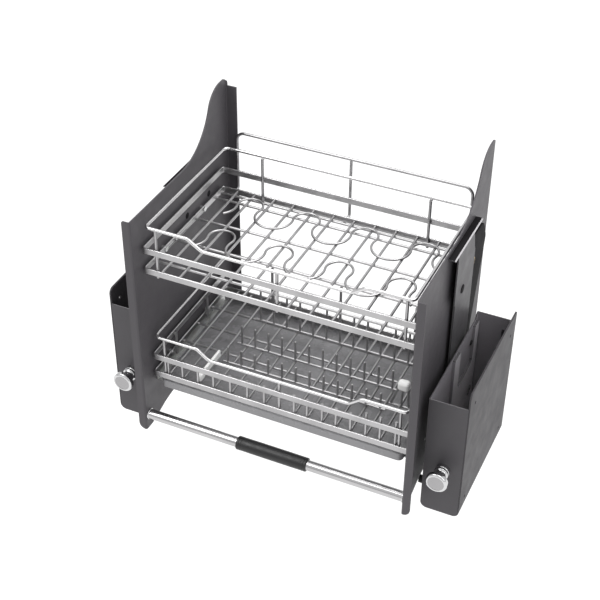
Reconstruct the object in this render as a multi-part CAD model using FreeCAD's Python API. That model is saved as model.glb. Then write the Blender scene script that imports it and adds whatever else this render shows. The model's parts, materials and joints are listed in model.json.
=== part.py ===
# Pull-down dish rack: two side housings that screw to the sides of a wall
# cabinet, two pairs of parallel arms, and a rack of two baskets between two
# sheet side panels that swings forward and down and stays level.
#
# All sizes in millimetres. +X is right, +Y is back, +Z is up.
# The model is drawn with y = 0 at the front of the side panels' flanges and
# z = 0 at the foot of the side panels, and shifted at export so that the
# origin is the centre of the bounding box at the housings' bottoms.
import FreeCAD, Part
import os
import math
from FreeCAD import Vector as V

os.makedirs("parts", exist_ok=True)

# ------------------------------------------------------------------ dimensions
OUT_W = 282.0        # half of the width over the housings (fits a 600 cabinet)
DROP = 15.4          # housings reach this far below the panels' feet
DEPTH = 293.0        # side panel, front flange to back flange

# side housing
HO_Y0, HO_Y1 = 41.8, 247.6
HO_Z0 = -DROP
HO_FRONT_TOP = 191.2
HO_BACK_TOP = 199.5
HO_PLATE_TOP = 217.6
HO_IN = 223.4        # inner wall, rack side
PLATE_T = 2.5        # mounting plate
COVER_T = 1.5        # cover sheet
HO_R = 10.0          # rounding along the lower edges

# arms: a parallelogram on each side, in the gap between panel and housing
P1 = (157.0, 65.0)   # main arm's lower pivot (y, z)
Q1 = (157.0, 300.0)  # main arm's upper pivot
ARM_OFF = 68.0       # the second arm's pivots lie this far behind
P2 = (P1[0] + ARM_OFF, P1[1])
Q2 = (Q1[0] + ARM_OFF, Q1[1])
SWING = 100.0
MAIN_X0, MAIN_X1 = 215.7, 218.7      # main arm
MAIN_F, MAIN_B = 16.0, 57.0          # its edges in front of and behind the pivots
AUX_X0, AUX_X1 = 211.7, 214.7        # second arm
SHAFT_R, PIN_R, FIT = 6.0, 5.0, 0.05
OPEN_FIT = 0.30      # radial play of the second arm's upper pivot
LEVER_R, LEVER_A = 50.0, 225.0
LEVER_X0, LEVER_X1 = 251.5, 254.5
SPRING_X = (242.5, 263.5)
BUMP_R, BUMP_GAP = 6.0, 0.3

# arm bracket on the panel
BR_X0, BR_X1 = 219.7, 221.7
BR_TOP = 373.5

# side panel
PN_IN = 208.7
PN_T = 2.0
PN_FLANGE = 221.7    # outer edge of the front flange
PN_TOP_FRONT = 380.0
PN_TOP_BACK = 465.5
PN_FLANGE_IN = 191.5 # inner edge of the back flange
PN_BACK_TOP = {1: 376.0, -1: 452.5}  # top of the back flange, right and left

# baskets
WIRE = 5.0           # rim, guard and posts
FLOOR_WIRE = 4.0
THIN_WIRE = 3.2
BAND_H, BAND_T = 10.0, 2.5
UB_HW, UB_Y0, UB_Y1 = 198.5, 22.7, 264.0    # rim; the bands are wider
BAND_HW, BAND_R = 204.5, 3.5
UB_RIM, UB_DIP = 363.0, 348.5
UB_BAND_A, UB_BAND_B = 318.0, 283.5      # undersides of the two bands
LB_HW, LB_Y0, LB_Y1 = 199.5, 28.1, 264.0
LB_RIM, LB_DIP = 166.3, 151.5
LB_BAND_A, LB_BAND_B = 122.8, 90.4
DIP_IN, UB_DIP_OUT, LB_DIP_OUT = 111.0, 132.5, 130.0
PITCH_Y_WIRES = 33.4
LB_BENT_X = (-182.0, -158.0, -132.0, -106.0, -78.0, -50.0, -22.6, 25.4, 46.0, 69.6, 91.2, 113.7, 137.2, 158.9, 182.4)
GUARD_Y, GUARD_TOP, GUARD_HW = 284.0, 381.5, 188.0

# handle
HN_Y, HN_Z, HN_R, HN_WALL = 11.0, 24.5, 8.0, 1.3
FERRULE_R = 8.9
GRIP_R, GRIP_L = 10.6, 114.0

# tray
TR_HW, TR_Y0, TR_Y1, TR_Z0, TR_Z1, TR_T = 195.0, 28.0, 262.0, 73.0, 85.5, 1.6

# screws and mounting holes
TAB_Z = (20.0, 170.0)
MOUNT_Y = (64.7, 224.7)
MOUNT_Z = (8.0, 188.0)
MOUNT_R = 2.75

# adjuster
AD_X, AD_Z = 253.0, 70.5
KNOB_FRONT = 9.4

YC = DEPTH / 2.0
SHIFT = V(0, -YC, DROP)


# ------------------------------------------------------------------- helpers
def box(x0, y0, z0, x1, y1, z1):
    return Part.makeBox(x1 - x0, y1 - y0, z1 - z0, V(x0, y0, z0))


def cx(y, z, r, x0, x1):
    return Part.makeCylinder(r, x1 - x0, V(x0, y, z), V(1, 0, 0))


def cy(x, z, r, y0, y1):
    return Part.makeCylinder(r, y1 - y0, V(x, y0, z), V(0, 1, 0))


def cz(x, y, r, z0, z1):
    return Part.makeCylinder(r, z1 - z0, V(x, y, z0), V(0, 0, 1))


def tube_x(y, z, ro, ri, x0, x1):
    return cx(y, z, ro, x0, x1).cut(cx(y, z, ri, x0 - 1, x1 + 1))


def mir(s):
    return s.mirror(V(0, 0, 0), V(1, 0, 0))


def fillet_poly(pts, radii, closed=True):
    """Edges of a polygon (3-D points in one plane or not) with its corners
    replaced by tangent arcs."""
    n = len(pts)
    P = [V(*p) for p in pts]
    if not isinstance(radii, (list, tuple)):
        radii = [radii] * n
    starts, ends, mids = [None] * n, [None] * n, [None] * n
    rng = range(n) if closed else range(1, n - 1)
    for i in range(n):
        starts[i] = ends[i] = P[i]
    for i in rng:
        r = radii[i]
        a, b, c = P[i - 1], P[i], P[(i + 1) % n]
        u, w = (a - b), (c - b)
        u.normalize()
        w.normalize()
        ang = u.getAngle(w)
        if r <= 0 or abs(ang - math.pi) < 1e-6:
            continue
        t = r / math.tan(ang / 2.0)
        s, e = b + u * t, b + w * t
        bis = u + w
        bis.normalize()
        ctr = b + bis * (r / math.sin(ang / 2.0))
        starts[i], ends[i] = s, e
        mids[i] = ctr - bis * r
    edges = []
    m = n if closed else n - 1
    for i in range(n):
        if mids[i] is not None:
            edges.append(Part.Arc(starts[i], mids[i], ends[i]).toShape())
        if i < m:
            p, q = ends[i], starts[(i + 1) % n]
            if (p - q).Length > 1e-7:
                edges.append(Part.makeLine(p, q))
    return edges


def face_of(pts, radii=0):
    return Part.Face(Part.Wire(Part.__sortEdges__(fillet_poly(pts, radii))))


def yz_plate(pts, x0, x1, radii=0):
    """Plate drawn in the YZ plane and extruded along X."""
    return face_of([(x0, p[0], p[1]) for p in pts], radii).extrude(V(x1 - x0, 0, 0))


def xz_plate(pts, y0, y1, radii=0):
    return face_of([(p[0], y0, p[1]) for p in pts], radii).extrude(V(0, y1 - y0, 0))


def xy_plate(pts, z0, z1, radii=0):
    return face_of([(p[0], p[1], z0) for p in pts], radii).extrude(V(0, 0, z1 - z0))


def rod(pts, r, radii=0.0, closed=False):
    """Round wire along a path of straight runs and tangent arcs."""
    edges = fillet_poly(pts, radii, closed)
    wire = Part.Wire(Part.__sortEdges__(edges))
    e0 = wire.OrderedEdges[0]
    p = e0.valueAt(e0.FirstParameter)
    d = e0.tangentAt(e0.FirstParameter)
    if (p - wire.OrderedVertexes[0].Point).Length > 1e-6:
        p = e0.valueAt(e0.LastParameter)
        d = e0.tangentAt(e0.LastParameter)
    prof = Part.Wire([Part.Circle(p, d, r).toShape()])
    s = wire.makePipeShell([prof], True, False)
    if s.ShapeType != "Solid":
        s = Part.makeSolid(s.Shells[0] if s.Shells else s)
    if s.Volume < 0:
        s.reverse()
    return s


def ring_band(hw, y0, y1, z0, h, t, r):
    """Flat strip bent to a rounded rectangle, standing on its edge. hw, y0 and
    y1 are the middle of the strip."""
    a = t / 2.0

    def rect(g):
        return [(-hw - g, y0 - g), (hw + g, y0 - g), (hw + g, y1 + g), (-hw - g, y1 + g)]
    return xy_plate(rect(a), z0, z0 + h, r + a).cut(xy_plate(rect(-a), z0 - 1, z0 + h + 1, r - a))


def fuse(shapes):
    s = shapes[0].multiFuse(shapes[1:]) if len(shapes) > 1 else shapes[0]
    s = s.removeSplitter()
    return s.Solids[0] if len(s.Solids) == 1 else s


NODES = {}


def put(name, *solids):
    out = []
    for s in solids:
        out += s.Solids
    NODES[name] = out


# --------------------------------------------------------------- side housings
def mounting_plate():
    x0 = OUT_W - PLATE_T
    p = yz_plate([(HO_Y0, HO_Z0 + HO_R), (HO_Y1, HO_Z0 + HO_R), (HO_Y1, HO_PLATE_TOP), (HO_Y0, HO_PLATE_TOP)],
                 x0, OUT_W, [0, 0, 2, 9])
    # bent tabs behind the cover's back wall
    yb = HO_Y1 - COVER_T
    for z in TAB_Z:
        p = p.fuse(box(x0 - 16.0, yb - 2.0, z - 9.0, x0, yb, z + 9.0))
    p = p.removeSplitter()
    for z in TAB_Z:
        p = p.cut(cy(x0 - 9.0, z, 2.0, yb - 4, yb + 2))
    for y in MOUNT_Y:
        for z in MOUNT_Z:
            p = p.cut(cx(y, z, MOUNT_R, x0 - 2, OUT_W + 1))
    return p


def housing_cover():
    """Bent cover: front, inner side, bottom and back in one piece."""
    t = COVER_T
    outer = xz_plate([(HO_IN, HO_Z0), (OUT_W, HO_Z0), (OUT_W, 300), (HO_IN, 300)], HO_Y0, HO_Y1, [HO_R, HO_R, 0, 0])
    inner = xz_plate([(HO_IN + t, HO_Z0 + t), (OUT_W - t, HO_Z0 + t), (OUT_W - t, 301), (HO_IN + t, 301)],
                     HO_Y0 + t, HO_Y1 - t, [HO_R - t, HO_R - t, 0, 0])
    s = outer.cut(inner)
    s = s.cut(box(OUT_W - PLATE_T, HO_Y0 - 1, HO_Z0 + HO_R, OUT_W + 1, HO_Y1 + 1, 302))
    # the rim steps up to the back wall
    s = s.cut(yz_plate([(HO_Y0 - 5, HO_FRONT_TOP), (HO_Y1 - 13.0, HO_FRONT_TOP), (HO_Y1 - 4.0, HO_BACK_TOP),
                        (HO_Y1 + 5, HO_BACK_TOP), (HO_Y1 + 5, 320), (HO_Y0 - 5, 320)], HO_IN - 5, OUT_W + 5,
                       [0, 4, 3, 0, 0, 0]))
    s = s.cut(cy(AD_X, AD_Z, 7.0, HO_Y0 - 2, HO_Y0 + 4))
    s = s.cut(cx(P1[0], P1[1], 9.0, HO_IN - 1, HO_IN + 3))
    s = s.cut(cx(P2[0], P2[1], PIN_R, HO_IN - 1, HO_IN + 3))
    for y, z in bumper_points():
        s = s.cut(cx(y, z, 2.5, HO_IN - 1, HO_IN + 3))
    for z in TAB_Z:
        s = s.cut(cy(OUT_W - PLATE_T - 9.0, z, 2.0, HO_Y1 - 4, HO_Y1 + 2))
    return s


def cover_screws():
    out = []
    for z in TAB_Z:
        x = OUT_W - PLATE_T - 9.0
        sh = cy(x, z, 2.0, HO_Y1 - COVER_T - 3.5, HO_Y1)
        hd = cy(x, z, 4.0, HO_Y1, HO_Y1 + 2.2)
        cross = box(x - 2.4, HO_Y1 + 1.0, z - 0.5, x + 2.4, HO_Y1 + 3, z + 0.5).fuse(
            box(x - 0.5, HO_Y1 + 1.0, z - 2.4, x + 0.5, HO_Y1 + 3, z + 2.4))
        out.append(fuse([sh, hd]).cut(cross))
    return out


def bearing_bracket():
    """Thick U-shaped plate on the inner wall that carries the pivots, with an
    upright in front and one in the rear corner."""
    x = HO_IN + COVER_T
    s = yz_plate([(136.0, 20.0), (243.0, 20.0), (243.0, 188.0), (225.5, 188.0), (225.5, 122.0), (160.0, 116.0), (160.0, 188.0),
                  (136.0, 188.0)], x, x + 4.0, [6, 6, 3, 3, 8, 8, 3, 3])
    return s.cut(cx(P1[0], P1[1], 10.5, x - 1, x + 9)).cut(cx(P2[0], P2[1], 8.6, x - 1, x + 9))


def shaft_bushes():
    x = HO_IN + COVER_T
    a = tube_x(P1[0], P1[1], 9.0, SHAFT_R + FIT, HO_IN, x + 9.5)
    b = tube_x(P1[0], P1[1], 9.0, SHAFT_R + FIT, OUT_W - PLATE_T - 8.0, OUT_W - PLATE_T)
    return [a, b]


def aux_pivot_pin():
    x = HO_IN + COVER_T
    pin = cx(P2[0], P2[1], PIN_R, AUX_X0 - 0.6, x)
    head = cx(P2[0], P2[1], 8.0, x, x + 3.0)
    return fuse([pin, head])


def aux_pivot_spacer():
    return tube_x(P2[0], P2[1], 9.0, PIN_R, AUX_X1 + 0.5, HO_IN)


def bumper_points():
    """Against the main arm's rear edge when raised and its front edge when lowered."""
    a = math.radians(SWING)
    u, n = (-math.sin(a), math.cos(a)), (math.cos(a), math.sin(a))
    g = MAIN_F + BUMP_R + BUMP_GAP
    return [(P1[0] + MAIN_B + BUMP_R + BUMP_GAP, 160.0), (P1[0] + 107.0 * u[0] - g * n[0], P1[1] + 107.0 * u[1] - g * n[1])]


def bumper(p):
    """Rubber buffer with a shank that is pressed through the wall."""
    return fuse([cx(p[0], p[1], BUMP_R, AUX_X1 + 0.5, HO_IN), cx(p[0], p[1], 2.5, HO_IN, HO_IN + COVER_T),
                 cx(p[0], p[1], 4.0, HO_IN + COVER_T, HO_IN + COVER_T + 2.0)])


# ----------------------------------------------------------------------- arms
def main_arm():
    """Wide plate that tapers to its lower pivot inside the housing's shadow."""
    y0, y1 = P1[0] - MAIN_F, P1[0] + MAIN_B
    s = yz_plate([(y0, 49.0), (172.0, 49.0), (184.0, 72.0), (y1, 142.0), (y1, 332.0), (y1 - 11.0, 347.0), (y0, 347.0)],
                 MAIN_X0, MAIN_X1, [14, 14, 22, 26, 9, 9, 14])
    s = s.cut(cx(P1[0], P1[1], SHAFT_R, MAIN_X0 - 1, MAIN_X1 + 1))
    return s.cut(cx(Q1[0], Q1[1], PIN_R + FIT, MAIN_X0 - 1, MAIN_X1 + 1))


def aux_arm():
    """Second arm, wider towards its upper end."""
    s = yz_plate([(209.0, 49.0), (241.0, 49.0), (243.5, 176.0), (279.0, 313.0), (262.0, 346.0), (214.0, 349.0), (199.0, 330.0), (203.0, 200.0)],
                 AUX_X0, AUX_X1, [15, 15, 60, 16, 14, 12, 12, 60])
    for q in (P2, Q2):
        s = s.cut(cx(q[0], q[1], 7.5, AUX_X0 - 1, AUX_X1 + 1))
    return s


def aux_arm_bushes():
    return [tube_x(P2[0], P2[1], 7.5, PIN_R + FIT, AUX_X0, AUX_X1), tube_x(Q2[0], Q2[1], 7.5, PIN_R + OPEN_FIT, AUX_X0, AUX_X1)]


def main_shaft():
    return cx(P1[0], P1[1], SHAFT_R, MAIN_X0, OUT_W - PLATE_T - 0.3)


def shaft_spacer():
    return tube_x(P1[0], P1[1], 12.0, SHAFT_R, MAIN_X1, HO_IN - 0.4)


def lever_tip():
    a = math.radians(LEVER_A)
    return (P1[0] + LEVER_R * math.cos(a), P1[1] + LEVER_R * math.sin(a))


def spring_lever():
    T = lever_tip()
    hub = cx(P1[0], P1[1], 14.0, LEVER_X0, LEVER_X1)
    tip = cx(T[0], T[1], 8.0, LEVER_X0, LEVER_X1)
    u = ((T[0] - P1[0]) / LEVER_R, (T[1] - P1[1]) / LEVER_R)
    n = (u[1], -u[0])
    body = yz_plate([(P1[0] + 13.5 * n[0], P1[1] + 13.5 * n[1]), (T[0] + 7.9 * n[0], T[1] + 7.9 * n[1]),
                     (T[0] - 7.9 * n[0], T[1] - 7.9 * n[1]), (P1[0] - 13.5 * n[0], P1[1] - 13.5 * n[1])], LEVER_X0, LEVER_X1)
    s = fuse([hub, tip, body]).cut(cx(P1[0], P1[1], SHAFT_R, LEVER_X0 - 1, LEVER_X1 + 1))
    return s.cut(cx(T[0], T[1], 4.0, LEVER_X0 - 1, LEVER_X1 + 1))


def lever_pin():
    T = lever_tip()
    return fuse([cx(T[0], T[1], 4.0, 238.0, 268.0), cx(T[0], T[1], 5.4, 236.5, 238.0), cx(T[0], T[1], 5.4, 268.0, 269.5)])


def spring(xc):
    """Tension spring at its length in the raised position: the close-coiled
    body as a tube, with an eye at each end."""
    T = lever_tip()
    A = V(xc, 60.0, AD_Z)
    S = V(xc, T[0], T[1])
    d = S - A
    L = d.Length
    d.normalize()
    out = [Part.makeCylinder(8.5, L - 36.0, A + d * 18.0, d).cut(Part.makeCylinder(5.7, L, A, d))]
    for c, sgn, rr in ((A, 1, 3.7), (S, -1, 4.3)):
        R = rr + 1.4
        out += [Part.makeTorus(R, 1.4, c, V(1, 0, 0)),
                Part.makeCylinder(1.4, 18.0 - R + 1.5, c + d * (sgn * R), d * sgn),
                Part.makeCylinder(8.0, 2.8, c + d * (sgn * 18.0) + d * (0 if sgn > 0 else -2.8), d)]
    return fuse(out)


# ------------------------------------------------------------------- adjuster
def knob():
    """Turned knob: broad head, neck and base collar."""
    pts = [(0, KNOB_FRONT), (14.2, KNOB_FRONT), (16.2, KNOB_FRONT + 2.0), (16.2, KNOB_FRONT + 7.2), (14.6, KNOB_FRONT + 8.8),
           (9.6, KNOB_FRONT + 9.4), (8.4, KNOB_FRONT + 12.0), (8.4, KNOB_FRONT + 20.0), (10.8, KNOB_FRONT + 21.6),
           (10.8, HO_Y0 - 2.6), (0, HO_Y0 - 2.6)]
    P = [V(AD_X + r, y, AD_Z) for r, y in pts]
    f = Part.Face(Part.makePolygon(P + [P[0]]))
    s = f.revolve(V(AD_X, 0, AD_Z), V(0, 1, 0), 360)
    s = s.Solids[0] if s.Solids else s
    # blind bore for the screw
    return s.cut(cy(AD_X, AD_Z, 4.0, KNOB_FRONT + 14.0, HO_Y0))


def adjuster_screw():
    a = cy(AD_X, AD_Z, 4.0, KNOB_FRONT + 14.0, 92.0)
    b = cy(AD_X, AD_Z, 6.4, HO_Y0 + COVER_T + 0.2, HO_Y0 + COVER_T + 1.6)
    c = Part.makeCone(4.0, 2.8, 1.6, V(AD_X, 92.0, AD_Z), V(0, 1, 0))
    return fuse([a, b, c])


def adjuster_bush():
    a = cy(AD_X, AD_Z, 7.0, HO_Y0, HO_Y0 + COVER_T)
    b = cy(AD_X, AD_Z, 10.5, HO_Y0 - 2.4, HO_Y0)
    s = fuse([a, b])
    return s.cut(cy(AD_X, AD_Z, 4.05, HO_Y0 - 5, HO_Y0 + 5))


def spring_carriage():
    """Nut block on the adjuster screw with a hook pin on each side."""
    b = box(AD_X - 6.0, 52.0, AD_Z - 9.0, AD_X + 6.0, 68.0, AD_Z + 9.0)
    b = b.fuse(cx(60.0, AD_Z, 3.4, AD_X - 15.0, AD_X + 15.0))
    return b.removeSplitter().cut(cy(AD_X, AD_Z, 4.05, 40, 80))


# ------------------------------------------------------------------ side panel
def panel_profile(grow=0.0):
    """Outline of the side panel seen from the side, as edges in the YZ plane."""
    R1, R2, y0 = 95.0, 42.2, 148.0
    a = math.asin((236.0 - y0) / R1)
    c1 = (y0, PN_TOP_FRONT + R1)
    p1 = (y0 + R1 * math.sin(a), c1[1] - R1 * math.cos(a))
    c2 = (p1[0] + R2 * math.sin(a), p1[1] - R2 * math.cos(a))
    top_y = c2[0]
    top_z = c2[1] + R2
    return a, c1, p1, c2, top_y, top_z, R1, R2


def side_panel(flange_top):
    a, c1, p1, c2, ty, tz, R1, R2 = panel_profile()
    X = PN_IN - 20

    def P(y, z):
        return V(X, y, z)

    def arc_mid(c, r, ang0, ang1):
        m = (ang0 + ang1) / 2.0
        return P(c[0] + r * math.cos(m), c[1] + r * math.sin(m))
    e = []
    e.append(Part.makeLine(P(0, 0), P(0, PN_TOP_FRONT)))
    e.append(Part.makeLine(P(0, PN_TOP_FRONT), P(c1[0], PN_TOP_FRONT)))
    e.append(Part.Arc(P(c1[0], PN_TOP_FRONT), arc_mid(c1, R1, -math.pi / 2, -math.pi / 2 + a), P(*p1)).toShape())
    e.append(Part.Arc(P(*p1), arc_mid(c2, R2, math.pi / 2 + a, math.pi / 2), P(ty, tz)).toShape())
    rb = 11.0
    e.append(Part.makeLine(P(ty, tz), P(DEPTH - rb, tz)))
    e.append(Part.Arc(P(DEPTH - rb, tz), P(DEPTH - rb + rb * math.sin(math.pi / 4), tz - rb + rb * math.cos(math.pi / 4)),
                      P(DEPTH, tz - rb)).toShape())
    e.append(Part.makeLine(P(DEPTH, tz - rb), P(DEPTH, 15.0)))
    low = [(DEPTH, 15.0), (84.0, 15.0), (60.0, 12.0), (27.0, 2.2), (18.0, 0.0), (0.0, 0.0)]
    le = fillet_poly([(X, p[0], p[1]) for p in low], [0, 40, 30, 12, 12, 0], closed=False)
    e += le
    f = Part.Face(Part.Wire(Part.__sortEdges__(e)))
    sil = f.extrude(V(60, 0, 0))
    # plan section of the bent sheet: front flange outwards, back flange inwards
    t = PN_T
    ro, ri = 3.5, 1.5
    sec = [(PN_FLANGE, 0), (PN_FLANGE, t), (PN_IN + t, t), (PN_IN + t, DEPTH), (PN_FLANGE_IN, DEPTH), (PN_FLANGE_IN, DEPTH - t),
           (PN_IN, DEPTH - t), (PN_IN, 0)]
    rad = [0, 0, ri, ro, 0, 0, ri, ro]
    sheet = xy_plate(sec, -5, 480, rad)
    s = sheet.common(sil)
    # rounded lower corner of the front flange
    r = 11.0
    corner = box(PN_FLANGE - r, -1, -1, PN_FLANGE + 1, t + 0.001, r).cut(cy(PN_FLANGE - r, r, r, -2, t + 1))
    s = s.cut(corner)
    # rounded upper corner of the front flange
    r = 3.0
    corner = box(PN_FLANGE - r, -1, PN_TOP_FRONT - r, PN_FLANGE + 1, t + 0.001, PN_TOP_FRONT + 1).cut(
        cy(PN_FLANGE - r, PN_TOP_FRONT - r, r, -2, t + 1))
    s = s.cut(corner)
    # back flange ends below the rounded corner
    s = s.cut(box(PN_FLANGE_IN - 1, DEPTH - t - 0.001, flange_top, PN_IN - 2.0, DEPTH + 1, 480))
    holes = [(HN_Y, HN_Z, 2.6)]
    holes += [(Q1[0], Q1[1], PIN_R), (Q2[0], Q2[1], PIN_R)]
    for (y, z) in runner_bolts():
        holes.append((y, z, 2.1))
    for y, z, hr in holes:
        s = s.cut(cx(y, z, hr, PN_IN - 3, PN_IN + PN_T + 3))
    return s


def basket_bolts():
    out = []
    for z in (UB_BAND_B + BAND_H / 2.0, LB_BAND_B + BAND_H / 2.0):
        out += [(82.0, z), (200.0, z)]
    return out


def runner_bolts():
    return [(80.0, 79.0), (210.0, 79.0)]


# ---------------------------------------------------------- bracket on the rack
def arm_bracket():
    """Plate that stands off the panel under a bent top flange; the arms swing
    between it and the panel, out through the open foot and back."""
    plate = yz_plate([(127.0, BR_TOP), (192.0, BR_TOP), (203.0, 330.0), (203.0, 287.0), (127.0, 287.0)],
                     BR_X0, BR_X1, [0, 0, 8, 6, 6])
    flange = box(PN_IN + PN_T, 114.0, BR_TOP - 2.0, BR_X1, 229.0, BR_TOP)
    s = fuse([plate, flange])
    c = box(BR_X1 - 3.0, 100.0, BR_TOP - 3.0, BR_X1 + 1, 250.0, BR_TOP + 1).cut(
        Part.makeCylinder(3.0, 160.0, V(BR_X1 - 3.0, 95.0, BR_TOP - 3.0), V(0, 1, 0)))
    s = s.cut(c)
    s = s.Solids[0] if s.Solids else s
    return s.cut(cx(Q1[0], Q1[1], PIN_R, BR_X0 - 1, BR_X1 + 1))


def main_upper_pin():
    return fuse([cx(Q1[0], Q1[1], PIN_R, PN_IN, BR_X1), cx(Q1[0], Q1[1], 6.5, BR_X1, BR_X1 + 0.9)])


def aux_upper_pin():
    return cx(Q2[0], Q2[1], PIN_R, PN_IN, AUX_X1 + 0.4)


# --------------------------------------------------------------------- handle
def handle_tube():
    return tube_x(HN_Y, HN_Z, HN_R, HN_R - HN_WALL, -(PN_IN - 2.0), PN_IN - 2.0)


def handle_plug():
    """Ferrule with a threaded plug inside the tube's end."""
    a = cx(HN_Y, HN_Z, HN_R - HN_WALL, PN_IN - 16.0, PN_IN - 2.0)
    s = fuse([a, cx(HN_Y, HN_Z, FERRULE_R, PN_IN - 2.0, PN_IN)])
    return s.cut(cx(HN_Y, HN_Z, 2.6, PN_IN - 12.0, PN_IN + 1))


def handle_screw():
    return fuse([cx(HN_Y, HN_Z, 2.6, PN_IN - 11.0, PN_IN + PN_T), cx(HN_Y, HN_Z, 4.8, PN_IN + PN_T, PN_IN + PN_T + 2.2)])


def grip():
    L = GRIP_L / 2.0
    pts = [(-L, HN_R), (-L, GRIP_R - 1.2), (-L + 1.4, GRIP_R), (L - 1.4, GRIP_R), (L, GRIP_R - 1.2), (L, HN_R)]
    P = [V(x, HN_Y, HN_Z + r) for x, r in pts]
    f = Part.Face(Part.makePolygon(P + [P[0]]))
    s = f.revolve(V(0, HN_Y, HN_Z), V(1, 0, 0), 360)
    return s.Solids[0] if s.Solids else s


# -------------------------------------------------------------------- baskets
def rim(hw, y0, y1, z, zd, dip_out):
    r = WIRE / 2.0
    pts = [(-hw, y1, z), (-hw, y0, z), (-dip_out, y0, z), (-DIP_IN, y0, zd), (DIP_IN, y0, zd), (dip_out, y0, z), (hw, y0, z), (hw, y1, z)]
    front = rod([(-hw, (y0 + y1) / 2, z)] + pts[1:-1] + [(hw, (y0 + y1) / 2, z)], r, [0, 7, 12, 12, 12, 12, 7, 0])
    back = rod([(hw, (y0 + y1) / 2, z), (hw, y1, z), (-hw, y1, z), (-hw, (y0 + y1) / 2, z)], r, [0, 9, 9, 0])
    return fuse([front, back])


def posts(y0, y1, zb, zr, zd, front, back, side_top=None):
    """Posts on the inside of the bands, in front and behind up to the rim wire,
    and where side_top is given, two on each side up to that height."""
    r = WIRE / 2.0 - 0.25
    g = BAND_T / 2.0 + WIRE / 2.0
    out = []
    for x in front:
        top = (zd if abs(x) < DIP_IN else zr) - WIRE / 2.0
        out.append(cz(x, y0 + g, r, zb, top - 0.6))
    for x in back:
        out.append(cz(x, y1 - g, r, zb, zr - WIRE / 2.0 - 0.6))
    if side_top is not None:
        for x in (-BAND_HW + g, BAND_HW - g):
            for y in (90.0, 190.0):
                out.append(cz(x, y, r, zb, side_top))
    return out


def floor_wires(hw, y0, y1, z_lo, xs, x_ys, up=None):
    """Welded floor: X wires below, Y wires on top. With up, the front ends of
    the Y wires are bent up behind the front bands to that height; each bent
    end is a solid of its own."""
    r = FLOOR_WIRE / 2.0
    g = BAND_T / 2.0
    s = [cx(y, z_lo + r, r, -hw + g, hw - g) for y in x_ys]
    ends = []
    z = z_lo + 3 * r - 0.5
    for x in xs:
        if up is None:
            s.append(cy(x, z, r, y0 + g, y1 - g))
        else:
            yf = y0 + g + r
            s.append(cy(x, z, r, yf + 5.0, y1 - g))
            ends.append(rod([(x, yf + 5.0, z), (x, yf, z), (x, yf, up + (9.0 if x > 120.0 else 0.0))], r, [0, 4.9, 0]))
    return [fuse(s)] + ends


def back_guard():
    r = WIRE / 2.0 - 0.2
    zb = UB_BAND_B - r - 0.02
    yb = UB_Y1 + BAND_T / 2 - 4.0
    hoop = rod([(-GUARD_HW, yb, zb), (-GUARD_HW, GUARD_Y, zb), (-GUARD_HW, GUARD_Y, GUARD_TOP), (GUARD_HW, GUARD_Y, GUARD_TOP),
                (GUARD_HW, GUARD_Y, zb), (GUARD_HW, yb, zb)], r, [0, 7, 13, 13, 7, 0])
    post = rod([(0, yb, zb), (0, GUARD_Y, zb), (0, GUARD_Y, GUARD_TOP)], r, [0, 7, 0])
    return fuse([hoop, post])


def serpentine(y, z, x0, n, r_loop, r_bow, pitch, r):
    """Wavy wire lying flat on the floor of the basket: narrow
    loops to the back and wide bows to the front, as tangent arcs."""
    h = math.sqrt((r_loop + r_bow) ** 2 - (pitch / 2.0) ** 2)
    edges = []
    k = r_loop / (r_loop + r_bow)
    for i in range(n):
        cl = (x0 + i * pitch, y + h / 2.0)
        left = (cl[0] - pitch / 2.0 * k, cl[1] - h * k)
        right = (cl[0] + pitch / 2.0 * k, cl[1] - h * k)
        edges.append(Part.Arc(V(left[0], left[1], z), V(cl[0], cl[1] + r_loop, z), V(right[0], right[1], z)).toShape())
        if i < n - 1:
            cb = (cl[0] + pitch / 2.0, y - h / 2.0)
            nxt = (cl[0] + pitch - pitch / 2.0 * k, cl[1] - h * k)
            edges.append(Part.Arc(V(right[0], right[1], z), V(cb[0], cb[1] - r_bow, z), V(nxt[0], nxt[1], z)).toShape())
    # the wire's ends curve forward
    for sgn, xe in ((-1, x0), (1, x0 + (n - 1) * pitch)):
        cb = (xe + sgn * pitch / 2.0, y - h / 2.0)
        p = (xe + sgn * pitch / 2.0 * k, y + h / 2.0 - h * k)
        a0 = math.atan2(p[1] - cb[1], p[0] - cb[0])
        am = a0 - sgn * (-1) * math.radians(32.0)
        ae = a0 - sgn * (-1) * math.radians(64.0)
        m, e = [V(cb[0] + r_bow * math.cos(t), cb[1] + r_bow * math.sin(t), z) for t in (am, ae)]
        edges.append(Part.Arc(V(p[0], p[1], z), m, e).toShape())
    wire = Part.Wire(Part.__sortEdges__(edges))
    e0 = wire.OrderedEdges[0]
    p0 = wire.OrderedVertexes[0].Point
    t = e0.FirstParameter if (e0.valueAt(e0.FirstParameter) - p0).Length < 1e-6 else e0.LastParameter
    s = wire.makePipeShell([Part.Wire([Part.Circle(e0.valueAt(t), e0.tangentAt(t), r).toShape()])], True, False)
    s = s if s.ShapeType == "Solid" else Part.makeSolid(s.Shells[0] if s.Shells else s)
    if s.Volume < 0:
        s.reverse()
    print("rail volume / section*length", s.Volume / (math.pi * r * r * wire.Length))
    return s


def comb(y, z0, xs, h, r_base, r_pin):
    """Row of upright pins welded to a cross wire, evenly spaced."""
    s = [cx(y, z0, r_base, xs[0] - 8.0, xs[-1] + 8.0)]
    for x in xs:
        pin = cz(x, y, r_pin, z0, z0 + h).fuse(Part.makeSphere(r_pin, V(x, y, z0 + h))).removeSplitter()
        s.append((pin.Solids[0] if pin.Solids else pin).cut(s[0]))
    return s


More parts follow.
